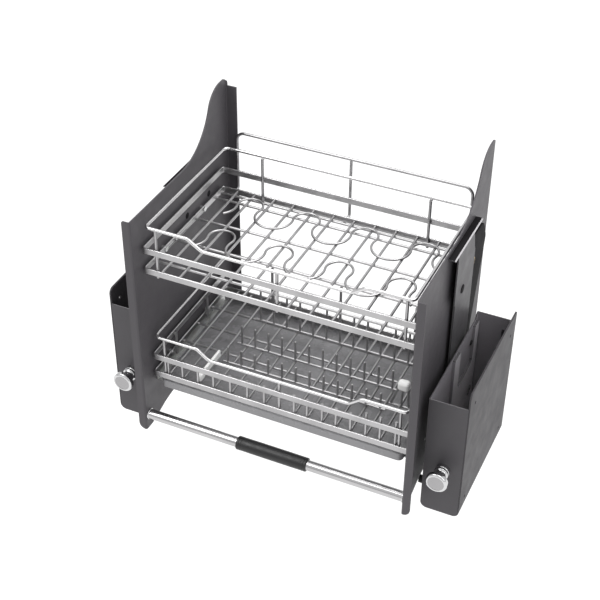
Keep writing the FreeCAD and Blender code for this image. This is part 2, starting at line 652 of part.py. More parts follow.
def end_frame(y, z0):
    """Inverted V of wire that stands on a cross wire of the floor at the right
    end of the rows of pins, with a straight stay in its middle."""
    v = rod([(143.0, y, z0 + 0.6), (155.0, y, 131.0), (168.0, y, 131.0), (170.5, y, z0 + 0.6)], 1.9, [0, 5, 5, 0])
    stay = rod([(158.9, y, z0 + 3.6), (160.5, y, 129.05)], 1.6)
    return [v, stay]


def end_cap(y, frame):
    """White moulded cap over the top of the end frame."""
    c = box(152.5, y - 7.0, 126.0, 170.5, y + 7.0, 141.5)
    c = c.makeFillet(5.0, c.Edges)
    for f in frame:
        c = c.cut(f)
    return c


def end_bar(z0):
    """White moulded bar with a broad front end that lies on a floor wire at the
    left end of the rows of pins."""
    b = xy_plate([(-137.5, 36.0), (-129.5, 36.0), (-129.5, 47.0), (-131.2, 53.0), (-131.4, 104.0), (-135.6, 104.0), (-135.8, 53.0),
                  (-137.5, 47.0)], z0, z0 + 10.0, [2.5, 2.5, 2, 4, 1.8, 1.8, 4, 2])
    top = [e for e in b.Edges if min(v.Z for v in e.Vertexes) > z0 + 9.9]
    return b.makeFillet(1.4, top)


# ----------------------------------------------------------------------- tray
def tray():
    def shell(g, z0, z1, r):
        return xy_plate([(-TR_HW + g, TR_Y0 + g), (TR_HW - g, TR_Y0 + g), (TR_HW - g, TR_Y1 - g), (-TR_HW + g, TR_Y1 - g)], z0, z1, r)
    s = shell(0, TR_Z0, TR_Z1, 8.0).cut(shell(TR_T, TR_Z0 + TR_T, TR_Z1 + 2, 8.0 - TR_T))
    return s


def tray_runner():
    a = box(PN_IN - 1.5, 40.0, TR_Z0 - 1.8, PN_IN, 262.0, 84.5)
    b = box(TR_HW - 7.0, 40.0, TR_Z0 - 1.8, PN_IN, 262.0, TR_Z0 - 0.3)
    s = fuse([a, b])
    for y, z in runner_bolts():
        s = s.cut(cx(y, z, 2.1, PN_IN - 5, PN_IN + 3))
    return s


def runner_screws():
    out = []
    for y, z in runner_bolts():
        a = cx(y, z, 2.1, PN_IN - 1.5, PN_IN + PN_T)
        c = cx(y, z, 3.8, PN_IN - 3.4, PN_IN - 1.5)
        out.append(fuse([a, c]))
    return out


def basket_hanger(z):
    """Stud welded to the side panel and the screw that holds a basket to it."""
    sp, sc = [], []
    xo = BAND_HW + BAND_T / 2.0
    xi = BAND_HW - BAND_T / 2.0
    for (y, zz) in basket_bolts():
        if abs(zz - z) < 0.1:
            sp.append(cx(y, zz, 4.5, xo, PN_IN).cut(cx(y, zz, 2.1, xo - 1, PN_IN - 1.5)))
            sc.append(fuse([cx(y, zz, 2.1, xi, PN_IN - 1.7), cx(y, zz, 3.9, xi - 1.8, xi)]))
    return sp, sc


# ------------------------------------------------------------------- assemble
def main():
    def pair(name, solids):
        put(name + "_right", *solids)
        put(name + "_left", *[mir(t) for t in solids])

    def both(name, solids):
        put(name, *(solids + [mir(t) for t in solids]))

    # housings
    pair("mounting_plate", [mounting_plate()])
    pair("housing_cover", [housing_cover()])
    both("cover_screws", cover_screws())
    both("bearing_brackets", [bearing_bracket()])
    both("shaft_bushes", shaft_bushes())
    both("aux_pivot_pins", [aux_pivot_pin()])
    both("aux_pivot_spacers", [aux_pivot_spacer()])
    b_rest, b_low = bumper_points()
    both("raised_bumpers", [bumper(b_rest)])
    both("lowered_bumpers", [bumper(b_low)])
    both("adjuster_bushes", [adjuster_bush()])
    pair("lift_springs", [spring(x) for x in SPRING_X])
    # adjusters
    pair("adjuster_knob", [knob()])
    pair("adjuster_screw", [adjuster_screw()])
    pair("spring_carriage", [spring_carriage()])
    # arms
    pair("main_arm", [main_arm()])
    both("main_shafts", [main_shaft()])
    both("shaft_spacers", [shaft_spacer()])
    both("spring_levers", [spring_lever()])
    both("lever_pins", [lever_pin()])
    pair("aux_arm", [aux_arm()])
    both("aux_arm_bushes", aux_arm_bushes())
    # rack
    put("side_panel_right", side_panel(PN_BACK_TOP[1]))
    put("side_panel_left", mir(side_panel(PN_BACK_TOP[-1])))
    pair("arm_bracket", [arm_bracket()])
    both("main_upper_pins", [main_upper_pin()])
    both("aux_upper_pins", [aux_upper_pin()])
    put("handle_tube", handle_tube())
    put("handle_grip", grip())
    both("handle_ferrules", [handle_plug()])
    both("handle_screws", [handle_screw()])
    # upper basket
    put("upper_basket_rim", rim(UB_HW, UB_Y0, UB_Y1, UB_RIM, UB_DIP, UB_DIP_OUT))
    put("upper_basket_middle_band", ring_band(BAND_HW, UB_Y0, UB_Y1, UB_BAND_A, BAND_H, BAND_T, BAND_R))
    ub_low = ring_band(BAND_HW, UB_Y0, UB_Y1, UB_BAND_B, BAND_H, BAND_T, BAND_R)
    lb_low = ring_band(BAND_HW, LB_Y0, LB_Y1, LB_BAND_B, BAND_H, BAND_T, BAND_R)
    for (y, z) in basket_bolts():
        hole = cx(y, z, 2.1, 190, 208)
        ub_low = ub_low.cut(hole).cut(mir(hole))
        lb_low = lb_low.cut(hole).cut(mir(hole))
    put("upper_basket_lower_band", ub_low)
    put("upper_basket_posts", *posts(UB_Y0, UB_Y1, UB_BAND_B - 4.5, UB_RIM, UB_DIP, (-185.0, 1.5, 188.0), (-134.0, 134.0)))
    xs = [max(-179.0, min(179.0, PITCH_Y_WIRES * (i - 5.5))) for i in range(12)]
    put("upper_basket_floor", *floor_wires(BAND_HW, UB_Y0, UB_Y1, UB_BAND_B + 0.2, xs, (53.0, 112.0, 175.0, 239.0, 255.4)))
    put("upper_back_guard", back_guard())
    zs = UB_BAND_B + 0.2 + 2 * FLOOR_WIRE - 0.5 + 1.8
    put("bowl_rails", serpentine(223.0, zs, -141.0, 4, 20.0, 29.0, 94.0, 1.8), serpentine(128.0, zs, -141.0, 4, 20.0, 29.0, 94.0, 1.8))
    # lower basket
    put("lower_basket_rim", rim(LB_HW, LB_Y0, LB_Y1, LB_RIM, LB_DIP, LB_DIP_OUT))
    put("lower_basket_middle_band", ring_band(BAND_HW, LB_Y0, LB_Y1, LB_BAND_A, BAND_H, BAND_T, BAND_R))
    put("lower_basket_lower_band", lb_low)
    put("lower_basket_posts", *posts(LB_Y0, LB_Y1, LB_BAND_B - 1.5, LB_RIM, LB_DIP, (-187.0, 1.5, 188.0), (-119.0, 0.0, 125.5),
                                     LB_BAND_A + BAND_H - 0.5))
    put("lower_basket_floor", *floor_wires(BAND_HW, LB_Y0, LB_Y1, LB_BAND_B + 0.2, LB_BENT_X, (60.0, 117.0, 165.0, 212.0, 254.0), LB_BAND_A + BAND_H - 1.0))
    zc = LB_BAND_B + 0.2 + 2 * FLOOR_WIRE - 0.5 + 1.9
    xs = [-113.0 + 22.6 * i for i in range(12)]
    put("plate_combs", *(comb(92.0, zc, xs, 28.0, 1.9, 1.7) + comb(140.0, zc, xs, 34.0, 1.9, 1.7) + comb(206.0, zc, xs, 60.0, 1.9, 1.7)))
    fr = end_frame(117.0, LB_BAND_B + 0.2 + FLOOR_WIRE)
    put("plate_end_frames", *fr)
    put("plate_end_caps", end_bar(LB_BAND_B + 0.2 + 2 * FLOOR_WIRE - 0.5), end_cap(117.0, fr))
    # tray and its runners
    put("drip_tray", tray())
    pair("tray_runner", [tray_runner()])
    both("runner_screws", runner_screws())
    sp_u, sc_u = basket_hanger(UB_BAND_B + BAND_H / 2.0)
    sp_l, sc_l = basket_hanger(LB_BAND_B + BAND_H / 2.0)
    both("basket_spacers", sp_u + sp_l)
    both("basket_screws", sc_u + sc_l)

    for name, solids in NODES.items():
        moved = []
        for s in solids:
            c = s.copy()
            c.translate(SHIFT)
            moved.append(c)
        shp = moved[0] if len(moved) == 1 else Part.makeCompound(moved)
        for k, m in enumerate(moved):
            if not m.isValid() or m.Volume <= 0:
                print("BAD", name, k, m.isValid(), m.Volume)
        shp.exportStep("parts/%s.step" % name)
    print(len(NODES), "nodes")


main()
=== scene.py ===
import json
import math

import bmesh
import bpy
from mathutils import Matrix, Vector


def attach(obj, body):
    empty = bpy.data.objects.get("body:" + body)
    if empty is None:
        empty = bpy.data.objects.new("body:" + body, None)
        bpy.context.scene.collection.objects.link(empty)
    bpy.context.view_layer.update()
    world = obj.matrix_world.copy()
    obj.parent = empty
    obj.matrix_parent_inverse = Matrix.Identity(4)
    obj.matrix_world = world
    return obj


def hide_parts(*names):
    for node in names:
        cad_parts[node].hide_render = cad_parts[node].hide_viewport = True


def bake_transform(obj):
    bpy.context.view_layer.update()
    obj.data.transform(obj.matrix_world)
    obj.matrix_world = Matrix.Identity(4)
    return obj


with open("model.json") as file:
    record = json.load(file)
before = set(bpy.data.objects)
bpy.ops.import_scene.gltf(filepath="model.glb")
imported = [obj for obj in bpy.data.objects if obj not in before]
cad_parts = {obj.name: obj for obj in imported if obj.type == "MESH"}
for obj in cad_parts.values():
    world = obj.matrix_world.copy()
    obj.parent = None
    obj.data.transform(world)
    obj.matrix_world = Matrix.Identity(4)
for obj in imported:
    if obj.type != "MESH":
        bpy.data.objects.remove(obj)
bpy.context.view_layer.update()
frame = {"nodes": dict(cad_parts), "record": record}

NODES = frame["nodes"]
SLOT_OF = {s["node"]: s["material_slot"] for s in frame["record"]["subparts"]}


def P(x, y, z):
    """Millimetres in the drawing's axes (y from the panels' front flanges, z
    from the panels' feet) to metres in the frame."""
    return Vector((x / 1000.0, (y - 146.5) / 1000.0, (z + 15.4) / 1000.0))


# ---------------------------------------------------------------------- camera
def make_camera():
    cam = bpy.data.cameras.new("camera")
    cam.lens = 76.63
    cam.sensor_width = 36.0
    cam.clip_start = 0.05
    cam.clip_end = 60.0
    ob = bpy.data.objects.new("camera", cam)
    bpy.context.scene.collection.objects.link(ob)
    eye = Vector((0.6034, -1.3701, 1.3591))
    aim = Vector((-0.0067, -0.0264, 0.2480))
    q = (aim - eye).to_track_quat("-Z", "Y")
    ob.matrix_world = Matrix.Translation(eye) @ q.to_matrix().to_4x4() @ Matrix.Rotation(math.radians(0.46), 4, "Z")
    bpy.context.scene.camera = ob


# ------------------------------------------------------------------- materials
class Mat:
    """Small helper for building node materials in object coordinates."""

    def __init__(self, name):
        self.m = bpy.data.materials.new(name)
        self.m.use_nodes = True
        self.t = self.m.node_tree
        self.bsdf = next(n for n in self.t.nodes if n.type == "BSDF_PRINCIPLED")
        self.co = self.t.nodes.new("ShaderNodeTexCoord").outputs["Object"]

    def link(self, a, b):
        self.t.links.new(a, b)

    def noise(self, scale, detail=3.0, rough=0.5, vec=None, distort=0.0):
        n = self.t.nodes.new("ShaderNodeTexNoise")
        n.inputs["Scale"].default_value = scale
        n.inputs["Detail"].default_value = detail
        n.inputs["Roughness"].default_value = rough
        n.inputs["Distortion"].default_value = distort
        self.link(vec or self.co, n.inputs["Vector"])
        return n.outputs["Fac"]

    def voronoi(self, scale, vec=None):
        n = self.t.nodes.new("ShaderNodeTexVoronoi")
        n.inputs["Scale"].default_value = scale
        self.link(vec or self.co, n.inputs["Vector"])
        return n.outputs["Distance"]

    def stretch(self, sx, sy, sz):
        n = self.t.nodes.new("ShaderNodeMapping")
        n.inputs["Scale"].default_value = (sx, sy, sz)
        self.link(self.co, n.inputs["Vector"])
        return n.outputs["Vector"]

    def ramp(self, fac, stops):
        n = self.t.nodes.new("ShaderNodeValToRGB")
        e = n.color_ramp.elements
        while len(e) < len(stops):
            e.new(0.5)
        for k, (p, c) in enumerate(stops):
            e[k].position = p
            e[k].color = (*c, 1.0) if isinstance(c, tuple) else (c, c, c, 1.0)
        self.link(fac, n.inputs["Fac"])
        return n.outputs["Color"]

    def mix(self, fac, a, b, mode="MIX"):
        n = self.t.nodes.new("ShaderNodeMix")
        n.data_type = "RGBA"
        n.blend_type = mode
        if isinstance(fac, (int, float)):
            n.inputs["Factor"].default_value = fac
        else:
            self.link(fac, n.inputs["Factor"])
        for s, v in (("A", a), ("B", b)):
            i = [x for x in n.inputs if x.name == s and x.type == "RGBA"][0]
            if isinstance(v, tuple):
                i.default_value = (*v, 1.0)
            else:
                self.link(v, i)
        return [x for x in n.outputs if x.type == "RGBA"][0]

    def span(self, fac, lo, hi, f0=0.3, f1=0.7):
        n = self.t.nodes.new("ShaderNodeMapRange")
        n.inputs["From Min"].default_value = f0
        n.inputs["From Max"].default_value = f1
        n.inputs["To Min"].default_value = lo
        n.inputs["To Max"].default_value = hi
        self.link(fac, n.inputs["Value"])
        return n.outputs["Result"]

    def add(self, a, b, wa=1.0, wb=1.0):
        n = self.t.nodes.new("ShaderNodeMath")
        n.operation = "MULTIPLY_ADD"
        self.link(a, n.inputs[0])
        n.inputs[1].default_value = wa
        m = self.t.nodes.new("ShaderNodeMath")
        m.operation = "MULTIPLY"
        self.link(b, m.inputs[0])
        m.inputs[1].default_value = wb
        self.link(m.outputs[0], n.inputs[2])
        return n.outputs[0]

    def bump(self, height, strength, distance, normal=None):
        n = self.t.nodes.new("ShaderNodeBump")
        n.inputs["Strength"].default_value = strength
        n.inputs["Distance"].default_value = distance
        self.link(height, n.inputs["Height"])
        if normal is not None:
            self.link(normal, n.inputs["Normal"])
        self.link(n.outputs["Normal"], self.bsdf.inputs["Normal"])
        return n.outputs["Normal"]

    def set(self, **kw):
        for k, v in kw.items():
            i = self.bsdf.inputs[k.replace("_", " ")]
            if isinstance(v, (int, float)):
                i.default_value = v
            elif isinstance(v, tuple):
                i.default_value = (*v, 1.0)
            else:
                self.link(v, i)
        return self


def tone(c, k):
    return tuple(min(1.0, x * k) for x in c)


def painted(name, c, rough=0.46, grain=900.0, bump=0.35, spread=0.03, spec=0.30):
    """Powder-coated sheet: fine orange peel, slow drifts of tone and a few dull
    patches."""
    m = Mat(name)
    slow = m.noise(5.5, 4.0, 0.55)
    fine = m.noise(grain * 1.7, 2.0)
    col = m.ramp(slow, [(0.30, tone(c, 1 - spread)), (0.52, c), (0.74, tone(c, 1 + spread))])
    col = m.mix(m.span(fine, 0.0, 0.12, 0.35, 0.75), col, tone(c, 1.7))
    peel = m.noise(grain, 2.5, 0.5)
    m.set(Base_Color=col, Roughness=m.span(m.noise(38.0, 4.0, 0.6), rough - 0.05, rough + 0.07), Metallic=0.0)
    m.bsdf.inputs["Specular IOR Level"].default_value = spec
    m.bump(m.add(peel, m.noise(90.0, 2.0), 1.0, 0.8), bump, 0.00012)
    return m.m


def plated(name, c, r0=0.10, r1=0.22, wavy=0.10, dark=0.82, grain=420.0):
    """Chrome on wire and strip: slightly wavy, with soft drifts of tone and
    faint wiping marks."""
    m = Mat(name)
    slow = m.noise(22.0, 3.0, 0.55)
    col = m.ramp(slow, [(0.28, tone(c, dark)), (0.55, c), (0.80, tone(c, 1.06))])
    marks = m.noise(grain, 5.0, 0.65, vec=m.stretch(0.25, 0.25, 1.0))
    m.set(Base_Color=col, Metallic=1.0, Roughness=m.span(marks, r0, r1))
    m.bump(m.add(m.noise(70.0, 2.0), m.noise(700.0, 2.0), 1.0, 0.25), wavy, 0.0003)
    return m.m


def zinc(name, c):
    m = Mat(name)
    cell = m.voronoi(210.0)
    slow = m.noise(60.0, 4.0)
    col = m.ramp(cell, [(0.0, tone(c, 0.86)), (0.5, c), (1.0, tone(c, 1.12))])
    col = m.mix(m.span(slow, 0.0, 0.35), col, (c[0] * 1.02, c[1] * 0.98, c[2] * 0.84))
    m.set(Base_Color=col, Metallic=1.0, Roughness=m.span(slow, 0.26, 0.44))
    m.bump(m.noise(1600.0, 2.0), 0.15, 0.00008)
    return m.m


def oiled_steel(name, c):
    m = Mat(name)
    slow = m.noise(45.0, 5.0, 0.6)
    col = m.ramp(slow, [(0.25, tone(c, 0.6)), (0.5, c), (0.78, (c[0] * 1.15, c[1] * 1.06, c[2] * 0.95))])
    m.set(Base_Color=col, Metallic=1.0, Roughness=m.span(m.noise(300.0, 3.0), 0.22, 0.40))
    m.bump(m.noise(1400.0, 2.0), 0.2, 0.00008)
    return m.m


def rubber(name, c, rough=0.5, grain=1500.0, bump=0.4, sheen=0.0):
    m = Mat(name)
    slow = m.noise(26.0, 4.0)
    col = m.ramp(slow, [(0.3, tone(c, 0.8)), (0.6, c), (0.85, tone(c, 1.5))])
    m.set(Base_Color=col, Roughness=m.span(m.noise(120.0, 4.0), rough - 0.06, rough + 0.08))
    m.bump(m.add(m.noise(grain, 2.0), m.voronoi(grain * 0.6), 1.0, 0.6), bump, 0.00012)
    return m.m


def plastic(name, c, rough=0.34, grain=1100.0, bump=0.12, clear=0.0):
    m = Mat(name)
    slow = m.noise(14.0, 3.0)
    col = m.ramp(slow, [(0.3, tone(c, 0.955)), (0.7, tone(c, 1.02))])
    m.set(Base_Color=col, Roughness=m.span(m.noise(55.0, 4.0), rough - 0.05, rough + 0.06))
    m.bsdf.inputs["IOR"].default_value = 1.49
    if clear:
        m.bsdf.inputs["Transmission Weight"].default_value = clear
    m.bump(m.add(m.noise(grain, 2.0), m.noise(30.0, 2.0), 0.5, 1.0), bump, 0.0002)
    return m.m


def bronze(name, c):
    m = Mat(name)
    pores = m.voronoi(2600.0)
    slow = m.noise(80.0, 4.0)
    col = m.ramp(slow, [(0.3, tone(c, 0.7)), (0.6, c), (0.85, tone(c, 1.2))])
    m.set(Base_Color=col, Metallic=1.0, Roughness=m.span(slow, 0.30, 0.50))
    m.bump(pores, 0.25, 0.00008)
    return m.m


MATS = {}


def make_materials():
    MATS.update(
        panel_paint=painted("panel_paint", (0.065, 0.0612, 0.0667), 0.47),
        housing_paint=painted("housing_paint", (0.063, 0.0596, 0.0647), 0.45),
        arm_paint=painted("arm_paint", (0.060, 0.0575, 0.0615), 0.44),
        # near-black, low-gloss: a dark paint, darkened further as painted shade for the rear arms
        rear_arm_paint=painted("rear_arm_paint", (0.010, 0.0094, 0.0103), 0.62, spec=0.05),
        # pale copy of the paint for the bearing plates deep in the housings: painted fill light
        inner_primer=painted("inner_primer", (0.50, 0.480, 0.507), 0.60, 1100.0, 0.25, 0.05, 0.2),
        zinc_steel=zinc("zinc_steel", (0.56, 0.57, 0.58)),
        wire_chrome=plated("wire_chrome", (0.44, 0.435, 0.44), 0.26, 0.40, 0.12),
        bright_chrome=plated("bright_chrome", (0.62, 0.62, 0.625), 0.06, 0.15, 0.05, 0.94),
        spring_steel=oiled_steel("spring_steel", (0.30, 0.30, 0.31)),
        grip_rubber=rubber("grip_rubber", (0.0085, 0.0085, 0.009), 0.38, 1300.0, 0.22),
        stop_rubber=rubber("stop_rubber", (0.012, 0.012, 0.012), 0.62),
        white_plastic=plastic("white_plastic", (0.90, 0.90, 0.89), 0.34),
        bush_plastic=plastic("bush_plastic", (0.02, 0.02, 0.021), 0.42),
        bronze_bush=bronze("bronze_bush", (0.42, 0.29, 0.12)),
        tray_plastic=plastic("tray_plastic", (0.23, 0.228, 0.235), 0.26, 700.0, 0.08),
    )
    # darker, duller copy of the housing paint for the mounting plates: painted shade
    MATS["mount_plate_painted_shade"] = painted("mount_plate_painted_shade", (0.046, 0.0436, 0.0472), 0.50, spec=0.20)
    MATS["tube_chrome"] = plated("tube_chrome", (0.50, 0.495, 0.50), 0.08, 0.18, 0.05, 0.92)
    # pale paint for the bracket's outer bend: a painted highlight
    MATS["bend_painted_highlight"] = painted("bend_painted_highlight", (0.42, 0.41, 0.422), 0.34, 900.0, 0.2)
    # lighter copy of the housing paint for inside faces: painted fill light
    MATS["interior_painted_light"] = painted("interior_painted_light", (0.27, 0.256, 0.277), 0.60, 1100.0, 0.25, 0.05, 0.2)
    # paler copy of the paint for bevelled edges and the housings' front-wall tops: a painted highlight
    MATS["edge_painted_highlight"] = painted("edge_painted_highlight", (0.15, 0.145, 0.152), 0.36, 900.0, 0.2)
    # brighter copy of the wire chrome for the bands' bevels: a painted highlight
    MATS["band_painted_highlight"] = plated("band_painted_highlight", (0.74, 0.735, 0.74), 0.16, 0.28, 0.06, 0.92)
    # brighter copy of the wire chrome for the rims: a painted highlight
    MATS["rim_painted_highlight"] = plated("rim_painted_highlight", (0.66, 0.655, 0.66), 0.16, 0.28, 0.10, 0.90)
    # darker copy of the knob chrome for its dished face: painted shade against the bright rim
    MATS["knob_dish_painted_shade"] = plated("knob_dish_painted_shade", (0.37, 0.365, 0.37), 0.14, 0.24, 0.05, 0.95)
    MATS["weld"] = plated("weld", (0.45, 0.445, 0.45), 0.24, 0.40, 0.3, 0.75, 900.0)


# -------------------------------------------------------------------- geometry
def add_mesh(name, verts, faces, mat, smooth=True, sharp=None):
    me = bpy.data.meshes.new(name)
    me.from_pydata([tuple(v) for v in verts], [], faces)
    me.update()
    bm = bmesh.new()
    bm.from_mesh(me)
    bmesh.ops.recalc_face_normals(bm, faces=bm.faces)
    bm.to_mesh(me)
    bm.free()
    for p in me.polygons:
        p.use_smooth = smooth
    if smooth and sharp:
        me.set_sharp_from_angle(angle=math.radians(sharp))
    me.materials.append(mat)
    ob = bpy.data.objects.new(name, me)
    bpy.context.scene.collection.objects.link(ob)
    return ob


def arc_corner(p, a, b, r, n=5):
    """Points that round the corner at p between its neighbours a and b."""
    p, a, b = Vector(p), Vector(a), Vector(b)
    u, w = (a - p), (b - p)
    lu, lw = u.length, w.length
    if r <= 0 or lu < 1e-9 or lw < 1e-9:
        return [p]
    u.normalize()
    w.normalize()
    ang = u.angle(w)
    if ang > math.radians(176) or ang < 1e-3:
        return [p]
    t = min(r / math.tan(ang / 2), lu * 0.49, lw * 0.49)
    r = t * math.tan(ang / 2)
    c = p + (u + w).normalized() * (r / math.sin(ang / 2))
    s, e = p + u * t, p + w * t
    vs, ve = s - c, e - c
    tot = vs.angle(ve)
    out = []
    for k in range(n + 1):
        f = k / n
        v = (vs * math.sin((1 - f) * tot) + ve * math.sin(f * tot)) / math.sin(tot)
        out.append(c + v)
    return out


def rounded(points, radii, closed=False, n=5):
    """Polyline with its corners rounded; radii is one number or one per point."""
    m = len(points)
    if not isinstance(radii, (list, tuple)):
        radii = [radii] * m
    out = []
    for k in range(m):
        if not closed and k in (0, m - 1):
            out.append(Vector(points[k]))
        else:
            out += arc_corner(points[k], points[k - 1], points[(k + 1) % m], radii[k], n)
    return out


def lathe(name, axis, centre, profile, mat, segs=64, sharp=40):
    """Turned piece. The profile is (radius, place along the axis) in mm."""
    verts, faces = [], []
    m = len(profile)
    c = P(*centre)
    for k in range(segs):
        t = 2 * math.pi * k / segs
        for r, a in profile:
            r, a = r / 1000.0, a / 1000.0
            if axis == "x":
                verts.append((a, c.y + r * math.cos(t), c.z + r * math.sin(t)))
            else:
                verts.append((c.x + r * math.cos(t), a - 0.1465, c.z + r * math.sin(t)))
    for k in range(segs):
        k2 = (k + 1) % segs
        for j in range(m - 1):
            faces.append((k * m + j, k * m + j + 1, k2 * m + j + 1, k2 * m + j))
    ob = add_mesh(name, verts, faces, mat, True, None)
    bm = bmesh.new()
    bm.from_mesh(ob.data)
    bmesh.ops.remove_doubles(bm, verts=bm.verts, dist=1e-7)
    bmesh.ops.dissolve_degenerate(bm, edges=bm.edges, dist=1e-8)
    bmesh.ops.recalc_face_normals(bm, faces=bm.faces)
    bm.to_mesh(ob.data)
    bm.free()
    ob.data.set_sharp_from_angle(angle=math.radians(sharp))
    return ob


def tube(points, radius, sides=12, closed=False, caps=True):
    """Vertices and faces of a round tube along points, in metres."""
    pts = [Vector(p) for p in points]
    n = len(pts)
    verts, faces = [], []
    tang = []
    for i in range(n):
        a = pts[i - 1] if (i > 0 or closed) else pts[i]
        b = pts[(i + 1) % n] if (i < n - 1 or closed) else pts[i]
        tang.append((b - a).normalized())
    ref = Vector((0, 0, 1)) if abs(tang[0].z) < 0.9 else Vector((1, 0, 0))
    nrm = (ref - tang[0] * ref.dot(tang[0])).normalized()
    for i in range(n):
        if i:
            nrm = (nrm - tang[i] * nrm.dot(tang[i])).normalized()
        bi = tang[i].cross(nrm)
        for k in range(sides):
            t = 2 * math.pi * k / sides
            verts.append(pts[i] + (nrm * math.cos(t) + bi * math.sin(t)) * radius)
    for i in range(n - 1):
        for k in range(sides):
            k2 = (k + 1) % sides
            faces.append((i * sides + k, i * sides + k2, (i + 1) * sides + k2, (i + 1) * sides + k))
    if caps:
        for i, sgn in ((0, -1), (n - 1, 1)):
            verts.append(pts[i] + tang[i] * sgn * radius * 0.35)
            cidx = len(verts) - 1
            for k in range(sides):
                k2 = (k + 1) % sides
                faces.append((i * sides + k, i * sides + k2, cidx) if sgn > 0 else (i * sides + k2, i * sides + k, cidx))
    return verts, faces


def blob(c, rx, ry, rz, rings=5, segs=8):
    verts, faces = [Vector((c[0], c[1], c[2] + rz))], []
    for i in range(1, rings):
        a = math.pi * i / rings
        for k in range(segs):
            t = 2 * math.pi * k / segs
            verts.append(Vector((c[0] + rx * math.sin(a) * math.cos(t), c[1] + ry * math.sin(a) * math.sin(t), c[2] + rz * math.cos(a))))
    verts.append(Vector((c[0], c[1], c[2] - rz)))
    last = len(verts) - 1
    for k in range(segs):
        faces.append((0, 1 + k, 1 + (k + 1) % segs))
        faces.append((last, 1 + (rings - 2) * segs + (k + 1) % segs, 1 + (rings - 2) * segs + k))
    for i in range(rings - 2):
        for k in range(segs):
            a = 1 + i * segs + k
            b = 1 + i * segs + (k + 1) % segs
            faces.append((a, a + segs, b + segs, b))
    return verts, faces


def join_parts(name, parts, mat, sharp=None):
    verts, faces = [], []
    for v, f in parts:
        o = len(verts)
        verts += v
        faces += [tuple(i + o for i in q) for q in f]
    return add_mesh(name, verts, faces, mat, True, sharp)


def broken_edges(node, name, width, mat, edge_mat=None, segs=2, angle=42.0):
    """A copy of a CAD node with its edges broken, as on real pressed, painted
    or rolled metal. It stands for that node."""
    src = NODES[node]
    bm = bmesh.new()
    bm.from_mesh(src.data)
    bmesh.ops.remove_doubles(bm, verts=bm.verts, dist=2e-6)
    bmesh.ops.dissolve_degenerate(bm, edges=bm.edges, dist=1e-7)
    me = bpy.data.meshes.new(name)
    bm.to_mesh(me)
    bm.free()
    me.materials.clear()
    me.materials.append(mat)
    for p in me.polygons:
        p.use_smooth = True
        p.material_index = 0
    ob = bpy.data.objects.new(name, me)
    bpy.context.scene.collection.objects.link(ob)
    me.set_sharp_from_angle(angle=math.radians(angle))
    b = ob.modifiers.new("edges", "BEVEL")
    b.width = width
    b.segments = segs
    b.limit_method = "ANGLE"
    b.angle_limit = math.radians(angle)
    b.miter_outer = "MITER_ARC"
    b.use_clamp_overlap = True
    b.harden_normals = False
    w = ob.modifiers.new("normals", "WEIGHTED_NORMAL")
    w.mode = "FACE_AREA"
    w.weight = 100
    w.keep_sharp = True
    if edge_mat is not None:
        me.materials.append(edge_mat)
        b.material = 1
    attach(ob, node_body(node))
    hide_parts(node)
    return ob


BODY_OF = {n: b for b, ns in frame["record"]["behaviour"]["bodies"].items() for n in ns}


def node_body(node):
    return BODY_OF[node]


def piece(ob, body, slot_name=None, *stands_for):
    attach(ob, body)
    if stands_for:
        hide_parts(*stands_for)
    return ob


# ------------------------------------------------------------------ the pieces
def finish_cad_nodes():
    """Every carried-over CAD node gets its slot's material."""
    for n, ob in NODES.items():
        m = MATS[SLOT_OF[n]]
        if ob.material_slots:
            for s in ob.material_slots:
                s.material = m
        else:
            ob.data.materials.append(m)


def paint_light_into_housing(ob):
    """Faces that look into a housing get a lighter finish: painted fill light for its dim interior. The flat top of
    the front wall gets the paler edge paint, a painted highlight."""
    me = ob.data
    me.materials.append(MATS["interior_painted_light"])
    me.materials.append(MATS["edge_painted_highlight"])
    k = len(me.materials) - 2
    for f in me.polygons:
        c = f.center
        x, y, z = abs(c.x) * 1000.0, c.y * 1000.0 + 146.5, c.z * 1000.0 - 15.4
        if 224.7 < x < 281.0 and 43.1 < y < 246.3 and z > -14.1 and z < 190.5:
            f.material_index = k
        if f.normal.z > 0.9 and z > 100.0 and y < 46.0:
            f.material_index = k + 1
    return ob


def bright_bend(ob):
    """Bracket: the flange on top takes the near-black rear-arm paint, painted shade; the bend along its outer side
    takes a pale paint, a painted highlight."""
    me = ob.data
    me.materials.append(MATS["rear_arm_paint"])
    me.materials.append(MATS["bend_painted_highlight"])
    k = len(me.materials) - 2
    for f in me.polygons:
        x, z = abs(f.center.x) * 1000.0, f.center.z * 1000.0 - 15.4
        if z > 369.0:
            if f.normal.z > 0.93:
                f.material_index = k
            elif x > 217.0 and 0.30 < f.normal.z:
                f.material_index = k + 1
    return ob


def dark_edges(ob):
    """Thick plate: pale on its faces, painted fill light for the housing's dim interior; darker on its cut edges,
    with the upward ones in the arm paint.
    """
    me = ob.data
    me.materials.append(MATS["interior_painted_light"])
    me.materials.append(MATS["arm_paint"])
    k = len(me.materials) - 2
    for f in me.polygons:
        if abs(f.normal.x) < 0.7:
            f.material_index = k + 1 if f.normal.z > 0.3 else k
    return ob


